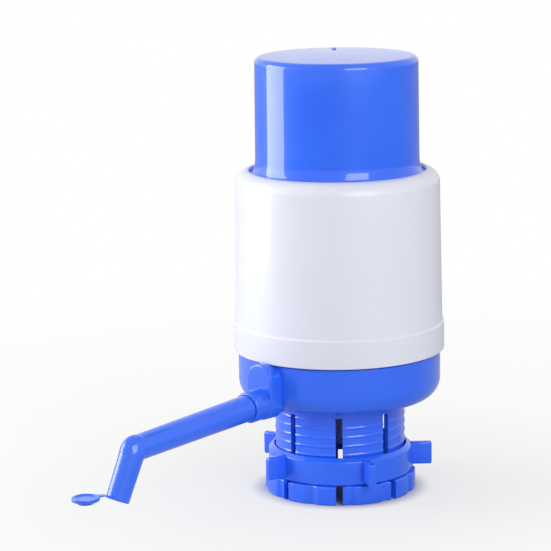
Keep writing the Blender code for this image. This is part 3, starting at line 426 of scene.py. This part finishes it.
def baseHousing():
    # The cup's profile runs from its rim down the wall, over the groove that shows as a dark line under the
    # shell, round the corner to the hole and back inside. The socket is a blind tube turned about its own
    # line and tilted by the droop.
    b = base
    seamTop, seamFloor = b["seam"] + b["seamHigh"], b["radius"] - b["seamDeep"]
    innerRadius = b["radius"] - b["wall"]
    cup = turned(roundedLoop([
        (innerRadius, b["rim"], b["edge"]),
        (b["radius"], b["rim"], b["edge"]),
        (b["radius"], seamTop, b["seamEdge"]),
        (seamFloor, seamTop - b["seamSlope"], b["seamEdge"]),
        (seamFloor, b["seam"], b["seamEdge"]),
        (b["radius"], b["seam"], b["seamLip"]),
        (b["radius"], b["bottom"], b["corner"]),
        (b["hole"], b["bottom"], b["holeEdge"]),
        (b["hole"], b["bottom"] + b["wall"], b["edge"]),
        (innerRadius, b["bottom"] + b["wall"], b["corner"] - b["wall"]),
    ], 16), b["columns"])
    socket = turned(roundedLoop([
        (b["socketBore"], 0, b["edge"]),
        (b["socketRadius"], 0, b["mouthRound"]),
        (b["socketRadius"], -b["socketLength"]),
        (0, -b["socketLength"]),
        (0, -b["socketDepth"]),
        (b["socketBore"], -b["socketDepth"]),
    ], 6), 72)
    socket = (
        placed(socket[0], (0, -b["socketReach"], b["socketHeight"]), [("X", 90 + b["droop"])]),
        socket[1],
    )
    return joinShapes([cup, socket, spoutPad()])


makePiece("baseHousing", baseHousing(), "base", ["base_housing"], bluePlastic)
print("base housing made")


# Clamp collar

collar = {
    "bore": 27.7, "radius": 30.5, "top": 47.4, "lipRadius": 34.0, "lipBottom": 46.1,
    "footRadius": 35.2, "footHeight": 8.9, "leadIn": 1.6, "leadHeight": 2.5,
    "slots": 8, "slotWidth": 3.2, "slotTurn": -2.4, "slotTop": 40.2,
    "lobes": 12, "lobeTurn": 20.5, "grooveRadius": 3.6, "grooveDepth": 1.3,
    "threadPitch": 4.2, "threadDepth": 0.28, "threadCrest": 0.4, "threadFlank": 0.55,
    "threadLow": 10.6, "threadHigh": 39.6,
    "plateTop": 44.55, "plateBottom": 42.55, "nippleHole": 5.3,
    "edge": 0.3, "step": 0.15, "slotHead": 2.4, "threadFade": 1.5, "threadRows": 128,
    "footTopRound": 0.7, "footLowRound": 0.9, "leadStep": 0.2, "grooveBlend": 0.25,
    "columns": 24,
}


def threadHeight(turn, height):
    # Share of the thread's depth at a point. The phase is height / pitch - turn / 360; its distance from the
    # nearest crest, in mm, is flat over half the crest's width and then falls smoothly over the flank.
    # The thread fades out at both ends.
    c = collar
    phase = (height / c["threadPitch"] - turn / (2 * math.pi)) % 1.0
    away = np.abs(phase - 0.5) * c["threadPitch"]
    rise = np.clip((c["threadCrest"] / 2 + c["threadFlank"] - away) / c["threadFlank"], 0, 1)
    fadeLow = np.clip((height - c["threadLow"]) / c["threadFade"], 0, 1)
    fadeHigh = np.clip((c["threadHigh"] - height) / c["threadFade"], 0, 1)
    return rise * rise * (3 - 2 * rise) * fadeLow * fadeHigh


def footShape(turn):
    # Radius of the lobed foot: the circle footRadius, cut by round grooves. Inside a groove the radius is
    # reach cos d - sqrt(groove^2 - reach^2 sin^2 d), with d the turn from the groove's middle. Near a
    # groove's edge the two radii blend over a small height, so the corner is round.
    c = collar
    step = 2 * math.pi / c["lobes"]
    d = (turn - math.radians(c["lobeTurn"]) + step / 2) % step - step / 2
    reach = c["footRadius"] - c["grooveDepth"] + c["grooveRadius"]
    inside = np.maximum(c["grooveRadius"] ** 2 - (reach * np.sin(d)) ** 2, 0)
    groove = np.where(inside > 0, reach * np.cos(d) - np.sqrt(inside), c["footRadius"] + 3)
    k = c["grooveBlend"]
    soft = np.clip(0.5 + 0.5 * (groove - c["footRadius"]) / k, 0, 1)
    return groove * (1 - soft) + c["footRadius"] * soft - k * soft * (1 - soft)


def clampCollar():
    # One closed profile carried round: outside from the lip down over thread and foot, inside back up to the
    # plate. At each slot two columns stand on the slot's parallel walls, at turn +-asin(half width / radius),
    # the quads between them are left out below the slot's top, and the walls there are closed.
    c = collar
    rows = []  # (radius, height, kind): kind 0 plain, 1 thread, 2 foot side

    def add(radius, height, kind=0):
        rows.append((radius, height, kind))

    add(c["lipRadius"] - c["edge"], c["top"])
    add(c["lipRadius"], c["top"] - c["edge"])
    add(c["lipRadius"], c["lipBottom"])
    add(c["radius"] - 0.1, c["lipBottom"])
    for height in np.linspace(c["slotTop"] + c["slotHead"], c["slotTop"], 6)[:-1]:
        add(c["radius"], height, 1)
    slotOuter = len(rows)
    for height in np.linspace(c["slotTop"], c["threadLow"], c["threadRows"]):
        add(c["radius"], height, 1)
    add(c["radius"], c["footHeight"] + c["step"])
    add(c["radius"] + c["step"], c["footHeight"])
    topRound, lowRound = c["footTopRound"], c["footLowRound"]
    add(c["footRadius"] - topRound, c["footHeight"], 2)
    for t in np.linspace(0, math.pi / 2, 5):
        height = c["footHeight"] - topRound + topRound * math.cos(t)
        add(c["footRadius"] - topRound + topRound * math.sin(t), height, 2)
    for t in np.linspace(0, math.pi / 2, 5):
        add(c["footRadius"] - lowRound + lowRound * math.cos(t), lowRound - lowRound * math.sin(t), 2)
    add(c["bore"] + c["leadIn"] + c["leadStep"], 0)
    add(c["bore"] + c["leadIn"], c["leadStep"])
    add(c["bore"], c["leadHeight"])
    for height in np.linspace(c["leadHeight"] + 1, c["slotTop"], 8):
        add(c["bore"], height)
    slotInner = len(rows) - 1
    add(c["bore"], c["plateBottom"])
    add(c["nippleHole"], c["plateBottom"])
    add(c["nippleHole"], c["plateTop"])
    add(c["bore"], c["plateTop"])
    add(c["bore"], c["top"])
    radius, height, kind = (np.array(v, float)[:, None] for v in zip(*rows))

    # columns: between two slots they spread evenly, and each slot's edges are its own two columns
    n, per = c["slots"], c["columns"]
    share = np.linspace(0, 1, per)
    middle = math.radians(c["slotTurn"]) + 2 * math.pi * np.arange(n) / n
    wallRadius = np.maximum(radius, c["bore"])
    edge = np.arcsin(c["slotWidth"] / 2 / wallRadius)
    turn = np.concatenate([
        middle[k] + edge + share[None] * (2 * math.pi / n - 2 * edge) for k in range(n)
    ], axis=1)
    out = np.where(kind == 1, radius - c["threadDepth"] * (1 - threadHeight(turn, height)), radius + 0 * turn)
    out = np.where(kind == 2, radius + footShape(turn) - c["footRadius"], out)
    grid = np.stack((out * np.cos(turn), out * np.sin(turn), height + 0 * turn), -1)
    count, columns = grid.shape[:2]
    quads = np.array(gridQuads(count, columns, True, True)).reshape(count, columns, 4)
    keep = np.ones((count, columns), bool)
    gaps = np.arange(n) * per + per - 1  # the column cell that crosses each slot
    keep[slotOuter:slotInner, gaps] = False
    faces = quads[keep].tolist()
    band = np.arange(slotOuter, slotInner + 1)
    for gap in gaps:
        near, far = gap, (gap + 1) % columns
        faces.append((band * columns + near).tolist())
        faces.append((band[::-1] * columns + far).tolist())
        faces.append([slotOuter * columns + near, slotInner * columns + near,
                      slotInner * columns + far, slotOuter * columns + far])
    return grid.reshape(-1, 3), faces


makePiece("clampCollar", clampCollar(), "base", ["clamp_collar"], bluePlastic, sharp=40)
print("clamp collar made")


# Clamp ring

ring = {
    "bottom": 9.2, "top": 21.7, "bore": 31.0, "radius": 33.6, "chamfer": 1.7,
    "edge": 0.3, "topEdge": 0.4, "chamferEdge": 0.5, "columns": 240,
    "lugs": 5, "lugTurn": 46.0, "lugTip": 43.1, "lugThick": 3.4, "lugBottom": 10.1, "lugTop": 20.9,
    "lugRound": 1.0, "lugRoot": 1.3,
}


def roundedBox(low, high, rounding, steps=24):
    # A sphere's direction n, pushed out by (half size - rounding) on each axis with the sign of n.
    low, high = np.array(low, float), np.array(high, float)
    turn = (np.arange(steps) + 0.5) / steps * 2 * math.pi
    rise = np.linspace(math.pi / 2, -math.pi / 2, steps + 2)
    turn, rise = np.meshgrid(turn, rise)
    n = np.stack((np.cos(rise) * np.cos(turn), np.cos(rise) * np.sin(turn), np.sin(rise)), -1)
    flat = np.abs(n) < 1e-9
    spots = (low + high) / 2 + np.where(flat, 0, np.sign(n)) * ((high - low) / 2 - rounding) + rounding * n
    return spots.reshape(-1, 3), gridQuads(len(rise), steps, False, True)


def clampRing():
    r = ring
    body = turned(roundedLoop([
        (r["bore"], r["top"], r["edge"]),
        (r["radius"] - r["chamfer"], r["top"], r["topEdge"]),
        (r["radius"], r["top"] - r["chamfer"], r["chamferEdge"]),
        (r["radius"], r["bottom"], r["topEdge"]),
        (r["bore"], r["bottom"], r["edge"]),
    ], 6), r["columns"])
    shapes = [body]
    for k in range(r["lugs"]):
        spots, faces = roundedBox(
            (r["radius"] - r["lugRoot"], -r["lugThick"] / 2, r["lugBottom"]),
            (r["lugTip"], r["lugThick"] / 2, r["lugTop"]), r["lugRound"])
        shapes.append((placed(spots, (0, 0, 0), [("Z", r["lugTurn"] + 360 / r["lugs"] * k)]), faces))
    return joinShapes(shapes)


makePiece("clampRing", clampRing(), "clamp_ring", ["clamp_ring"], bluePlastic)
print("clamp ring made")


# Spout

spout = {
    "reach": 61.2, "height": 49.1, "droop": 4.4, "length": 69.4, "bend": 60.0, "bendRadius": 6.25,
    "tip": 23.4, "lip": 0.5, "edge": 0.3, "boreSteps": (8.0, 5.0),
    "startRadius": 6.1, "elbowRadius": 5.7, "tipRadius": 5.25, "boreStart": 4.7, "boreEnd": 4.2,
    "spigot": 5.6, "spigotBore": 3.1, "spigotEnd": -12.4, "spigotChamfer": 0.5,
    "grooveFrom": -4.5, "grooveTo": -6.3, "grooveRadius": 4.25, "shoulderGap": 0.12, "elbowFill": 1.3,
}
bendBack = spout["bendRadius"] * math.tan(math.radians(spout["bend"] / 2))
bendLength = spout["bendRadius"] * math.radians(spout["bend"])
spoutLength = spout["length"] - bendBack + bendLength + spout["tip"] - bendBack


def spoutLine(along):
    # Middle line of the tube in its upright plane: straight, then an arc where out grows by radius sin(angle)
    # and down by radius (1 - cos(angle)), then straight again. Gives each point and the angle turned so far.
    s = spout
    straight = s["length"] - bendBack
    angle = np.clip((along - straight) / s["bendRadius"], 0, math.radians(s["bend"]))
    rest = np.maximum(along - straight - bendLength, 0)
    out = np.minimum(along, straight) + s["bendRadius"] * np.sin(angle) + rest * np.cos(angle)
    down = s["bendRadius"] * (1 - np.cos(angle)) + rest * np.sin(angle)
    return out, down, angle


def sweptTube(rows, outerRows, steps=72):
    # A ring of radius r square to the line at every row (along, r). In the bend the outside of the first
    # outerRows rows is pushed out by fill sin(pi share) sin^2(turn), which makes the corner sharper there.
    along, radius = rows[:, 0][:, None], rows[:, 1][:, None]
    out, down, angle = spoutLine(along)
    turn = np.linspace(0, 2 * math.pi, steps, endpoint=False)
    across, lift = radius * np.cos(turn), radius * np.sin(turn)
    fill = spout["elbowFill"] * np.sin(math.pi * angle / math.radians(spout["bend"]))
    fill = np.where(np.arange(len(rows))[:, None] < outerRows, fill, 0)
    lift = lift + fill * np.maximum(np.sin(turn), 0) ** 2
    local = np.stack((across, -down + lift * np.cos(angle), out + lift * np.sin(angle)), -1)
    return local.reshape(-1, 3), gridQuads(len(rows), steps, True, True)


def spoutTube():
    s = spout
    straight = s["length"] - bendBack
    outer = np.linspace(s["shoulderGap"] + s["edge"], straight, 30)
    bend = np.linspace(straight, straight + bendLength, 22)[1:]
    outerRadius = s["startRadius"] + (s["elbowRadius"] - s["startRadius"]) * outer / straight
    share = (bend - straight) / (spoutLength - straight)
    bendRadius = s["elbowRadius"] + (s["tipRadius"] - s["elbowRadius"]) * share
    t = np.linspace(0, math.pi / 2, 6)
    lip = s["lip"]
    rows = [(s["shoulderGap"], s["spigot"]), (s["shoulderGap"], s["startRadius"] - s["edge"])]
    rows += list(zip(outer, outerRadius)) + list(zip(bend, bendRadius))
    outerRows = len(rows)
    rows += [(spoutLength - lip + lip * math.sin(k), s["tipRadius"] - lip + lip * math.cos(k)) for k in t]
    rows += [(spoutLength - lip + lip * math.cos(k), s["boreEnd"] + lip - lip * math.sin(k)) for k in t]
    rows += [(a, s["boreEnd"]) for a in bend[::-1]] + [(straight, s["boreEnd"])]
    wideEnd, narrowStart = s["boreSteps"]
    rows += [(wideEnd, s["boreStart"]), (narrowStart, s["spigotBore"]), (s["spigotEnd"], s["spigotBore"])]
    chamfer = s["spigotChamfer"]
    rows += [(s["spigotEnd"], s["spigot"] - chamfer), (s["spigotEnd"] + chamfer, s["spigot"])]
    rows += [(s["grooveTo"], s["spigot"]), (s["grooveTo"], s["grooveRadius"])]
    rows += [(s["grooveFrom"], s["grooveRadius"]), (s["grooveFrom"], s["spigot"])]
    spots, faces = sweptTube(np.array(rows), outerRows)
    return placed(spots, (0, -s["reach"], s["height"]), [("X", 90 + s["droop"])]), faces


makePiece("spoutTube", spoutTube(), "spout", ["spout"], bluePlastic)
print("spout made")


# Spout cap and its strap

spoutCap = {
    "hingeReach": 9.4, "film": 0.15, "strap": 0.8, "strapWidth": 3.6, "radius": 6.1, "thick": 1.5,
    "dish": 0.6, "rim": 1.1, "plugRoot": 3.9, "plugTip": 3.6, "plugLength": 1.4, "open": 154.0,
    "dishRound": 0.5, "rimRound": 0.25, "topRound": 0.4, "faceRound": 0.3, "rootRound": 0.2, "tipRound": 0.5,
    "overlap": 0.5, "thinShare": 0.28, "flareFrom": 0.6, "flare": 0.18, "squareness": 0.35, "crossShare": 0.1,
    "blendFrom": 8.0, "blendTo": 10.8,
}


def fromTip(spots):
    # From the tip's own frame (z along the tip, y up and outwards) to the pump's.
    s = spout
    elbow = placed(spots, (0, 0, s["length"]), [("X", s["bend"])])
    return placed(elbow, (0, -s["reach"], s["height"]), [("X", 90 + s["droop"])])


def fromHinge(spots, degrees):
    # About the strap's hinge line, turned back by the open angle.
    c = spoutCap
    return fromTip(placed(spots, (0, c["hingeReach"], spout["tip"] + c["film"]), [("X", -degrees)]))


def tetheredCap():
    c = spoutCap
    face, outer = c["film"], c["film"] + c["thick"]
    dish = c["radius"] - c["rim"]
    loop = roundedLoop([
        (0, outer - c["dish"]),
        (dish - c["dish"], outer - c["dish"], c["dishRound"]),
        (dish, outer, c["rimRound"]),
        (c["radius"], outer, c["topRound"]),
        (c["radius"], face, c["faceRound"]),
        (c["plugRoot"], face, c["rootRound"]),
        (c["plugTip"], face - c["plugLength"], c["tipRound"]),
        (0, face - c["plugLength"]),
    ], 6, closed=False)
    spots, faces = turned(loop, 96, closed=False)
    return fromHinge(placed(spots, (0, -c["hingeReach"], 0)), c["open"]), faces


def capStrap():
    # A flat strip: its middle line runs from inside the tube's wall to the hinge and on to the cap, each half
    # straight, and its thickness grows from the film at the hinge by the square of the share along it.
    # Across, each row is the rounded oblong (wide / 2 cos^k, thick / 2 sin^k) with k the squareness.
    c = spoutCap
    share = np.linspace(-1, 1, 61)
    reachHalf = c["hingeReach"] - spout["tipRadius"] + c["overlap"]
    capHalf = c["hingeReach"] - c["radius"] + c["overlap"]
    thick = c["film"] * 2 + (c["strap"] - c["film"] * 2) * np.clip(np.abs(share) / c["thinShare"], 0, 1) ** 2
    spread = np.clip((np.abs(share) - c["flareFrom"]) / (1 - c["flareFrom"]), 0, 1)
    wide = c["strapWidth"] * (1 + c["flare"] * spread ** 2)
    turn = np.linspace(0, 2 * math.pi, 24, endpoint=False)
    cs, sn = np.cos(turn), np.sin(turn)
    squareAcross = np.sign(cs) * np.abs(cs) ** c["squareness"]
    squareLift = np.sign(sn) * np.abs(sn) ** c["squareness"]
    first = share <= 0
    across = wide[:, None] / 2 * squareAcross
    lift = thick[:, None] / 2 * squareLift
    # spout's half, in the tip's frame, top face one film below the hinge plane; at the hinge both halves
    # move over by two films, so that they meet in it
    crossing = c["film"] * 2 * (1 - np.clip(np.abs(share) / c["crossShare"], 0, 1))
    spoutSide = np.stack((
        across,
        (c["hingeReach"] + share * reachHalf)[:, None] + 0 * across,
        (spout["tip"] - c["film"] - thick / 2 + crossing)[:, None] + lift,
    ), -1)
    capSide = np.stack((
        across,
        (-share * capHalf)[:, None] + 0 * across,
        (c["film"] + thick / 2 - crossing)[:, None] - lift,
    ), -1)
    grid = np.where(first[:, None, None], fromTip(spoutSide.reshape(-1, 3)).reshape(spoutSide.shape),
                    fromHinge(capSide.reshape(-1, 3), c["open"]).reshape(capSide.shape))
    faces = gridQuads(len(share), len(turn), False, True)
    last = (len(share) - 1) * len(turn)
    faces.append(list(range(len(turn)))[::-1])
    faces.append(list(range(last, last + len(turn))))
    return grid.reshape(-1, 3), faces


makePiece("spoutCap", tetheredCap(), "spout_cap", ["spout_cap"], bluePlastic)
strapPiece = makePiece("capStrap", capStrap(), None, [], bluePlastic)
knit = bmesh.new()
knit.from_mesh(strapPiece.data)
bmesh.ops.recalc_face_normals(knit, faces=knit.faces)
knit.to_mesh(strapPiece.data)
knit.free()
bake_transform(strapPiece)
print("spout cap made")


# Seal and sleeve seen from below

seal = {"inner": 14.5, "outer": 27.4, "bottom": 40.25, "top": 42.25, "edge": 0.3}
sleeve = {"inner": 5.3, "outer": 7.0, "bottom": 21.95, "top": 38.95, "edge": 0.5}


def washer(w):
    corners = [("inner", "top"), ("outer", "top"), ("outer", "bottom"), ("inner", "bottom")]
    return turned(roundedLoop([(w[radius], w[height], w["edge"]) for radius, height in corners], 5), 128)


# seal and sleeve tinted blue: painted blue bounce light from the collar around them, on pale silicone
makePiece("jugSeal", washer(seal), "base", ["jug_seal"], siliconeWithPaintedBlueLight)
makePiece("tubeSleeve", washer(sleeve), "base", ["tube_connector"], siliconeWithPaintedBlueLight)
print("seal and sleeve made")


# Floor, light and camera

studio = {
    "floorColour": (0.60, 0.60, 0.61), "floorRoughness": 0.9, "floorSize": 8.0, "world": 0.50,
    "backdropReach": 0.5, "backdropShares": ((0.068, 0.0), (0.085, 0.70), (0.35, 0.90), (1.0, 1.0)),
    "aim": (0.0, 0.06, 0.10),
    "keyPlace": (-0.625, -0.44, 0.27), "keySize": (0.52, 0.58), "keyPower": 6.0,
    "fillPlace": (0.76, -0.20, 0.45), "fillSize": (0.45, 0.45), "fillPower": 3.6,
}


def seenWhite(tree, kind, lit, rayNames, share=None):
    # The named rays see white at strength 1 instead of the lit surface, to the given share.
    rays = tree.nodes.new("ShaderNodeLightPath")
    seen = rays.outputs[rayNames[0]]
    for rayName in rayNames[1:]:
        either = tree.nodes.new("ShaderNodeMath")
        either.operation = "MAXIMUM"
        tree.links.new(seen, either.inputs[0])
        tree.links.new(rays.outputs[rayName], either.inputs[1])
        seen = either.outputs["Value"]
    if share:
        part = tree.nodes.new("ShaderNodeMath")
        part.operation = "MULTIPLY"
        tree.links.new(seen, part.inputs[0])
        tree.links.new(share, part.inputs[1])
        seen = part.outputs["Value"]
    white = tree.nodes.new(kind)
    white.inputs["Color"].default_value = (1, 1, 1, 1)
    white.inputs["Strength"].default_value = 1.0
    mix = tree.nodes.new("ShaderNodeMixShader")
    tree.links.new(seen, mix.inputs["Fac"])
    tree.links.new(lit, mix.inputs[1])
    tree.links.new(white.outputs[0], mix.inputs[2])
    return mix.outputs["Shader"]


def studioFloor():
    mesh = bpy.data.meshes.new("floor")
    half = studio["floorSize"] / 2
    corners = [(-half, -half, 0), (half, -half, 0), (half, half, 0), (-half, half, 0)]
    mesh.from_pydata(corners, [], [(0, 1, 2, 3)])
    floor = bpy.data.objects.new("floor", mesh)
    bpy.context.scene.collection.objects.link(floor)
    material = bpy.data.materials.new("floorPaper")
    material.use_nodes = True
    tree = material.node_tree
    shader = tree.nodes["Principled BSDF"]
    shader.inputs["Base Color"].default_value = (*studio["floorColour"], 1)
    shader.inputs["Roughness"].default_value = studio["floorRoughness"]
    # close to the foot the floor is seen as it is lit, with the shadow, and further out it turns to the
    # white backdrop
    where = tree.nodes.new("ShaderNodeTexCoord")
    centred = tree.nodes.new("ShaderNodeVectorMath")
    centred.operation = "SUBTRACT"
    centred.inputs[1].default_value = (0, axisY, 0)
    tree.links.new(where.outputs["Object"], centred.inputs[0])
    reach = tree.nodes.new("ShaderNodeVectorMath")
    reach.operation = "LENGTH"
    tree.links.new(centred.outputs["Vector"], reach.inputs[0])
    part = tree.nodes.new("ShaderNodeMath")
    part.operation = "DIVIDE"
    part.inputs[1].default_value = studio["backdropReach"]
    tree.links.new(reach.outputs["Value"], part.inputs[0])
    ramp = tree.nodes.new("ShaderNodeValToRGB")
    stops = ramp.color_ramp.elements
    while len(stops) < len(studio["backdropShares"]):
        stops.new(0.5)
    for stop, (position, share) in zip(stops, studio["backdropShares"]):
        stop.position = position
        stop.color = (share, share, share, 1)
    tree.links.new(part.outputs["Value"], ramp.inputs["Fac"])
    seen = seenWhite(
        tree, "ShaderNodeEmission", shader.outputs["BSDF"], ["Is Camera Ray"], ramp.outputs["Color"])
    tree.links.new(seen, tree.nodes["Material Output"].inputs["Surface"])
    mesh.materials.append(material)


def softLight(name, place, size, power):
    light = bpy.data.lights.new(name, "AREA")
    light.shape = "RECTANGLE"
    light.size, light.size_y = size
    light.energy = power
    lamp = bpy.data.objects.new(name, light)
    bpy.context.scene.collection.objects.link(lamp)
    lamp.location = place
    way = Vector(studio["aim"]) - Vector(place)
    lamp.rotation_euler = way.to_track_quat("-Z", "Y").to_euler()


def studioWorld():
    world = bpy.data.worlds.new("studioWorld")
    world.use_nodes = True
    tree = world.node_tree
    lit = tree.nodes["Background"]
    lit.inputs["Color"].default_value = (1, 1, 1, 1)
    lit.inputs["Strength"].default_value = studio["world"]
    rayNames = ["Is Camera Ray", "Is Glossy Ray", "Is Transmission Ray"]
    seen = seenWhite(tree, "ShaderNodeBackground", lit.outputs["Background"], rayNames)
    tree.links.new(seen, tree.nodes["World Output"].inputs["Surface"])
    bpy.context.scene.world = world


studioFloor()
studioWorld()
for lampName in ("key", "fill"):
    place, size, power = (studio[lampName + part] for part in ("Place", "Size", "Power"))
    softLight(lampName + "Light", place, size, power)

view = {
    "place": (808.37, -849.81, 332.15), "azimuth": 45.0, "pitch": -11.124, "roll": -0.8722, "lens": 167.8,
    "sensor": 36.0, "clip": (0.05, 30.0),
}


def photoCamera():
    camera = bpy.data.cameras.new("photoCamera")
    camera.sensor_width = view["sensor"]
    camera.lens = view["lens"]
    camera.clip_start, camera.clip_end = view["clip"]
    thing = bpy.data.objects.new("photoCamera", camera)
    bpy.context.scene.collection.objects.link(thing)
    a, e, r = (math.radians(view[k]) for k in ("azimuth", "pitch", "roll"))
    forward = np.array((-math.sin(a) * math.cos(e), math.cos(a) * math.cos(e), math.sin(e)))
    right = np.array((math.cos(a), math.sin(a), 0))
    up = np.cross(right, forward)
    rolledRight = math.cos(r) * right + math.sin(r) * up
    rolledUp = -math.sin(r) * right + math.cos(r) * up
    spin = Matrix(np.column_stack((rolledRight, rolledUp, -forward)).tolist())
    thing.matrix_world = spin.to_4x4()
    thing.location = (view["place"][0] * mm, view["place"][1] * mm + axisY, view["place"][2] * mm)
    bpy.context.scene.camera = thing


photoCamera()
bpy.context.scene.view_settings.view_transform = "Standard"
print("studio made")
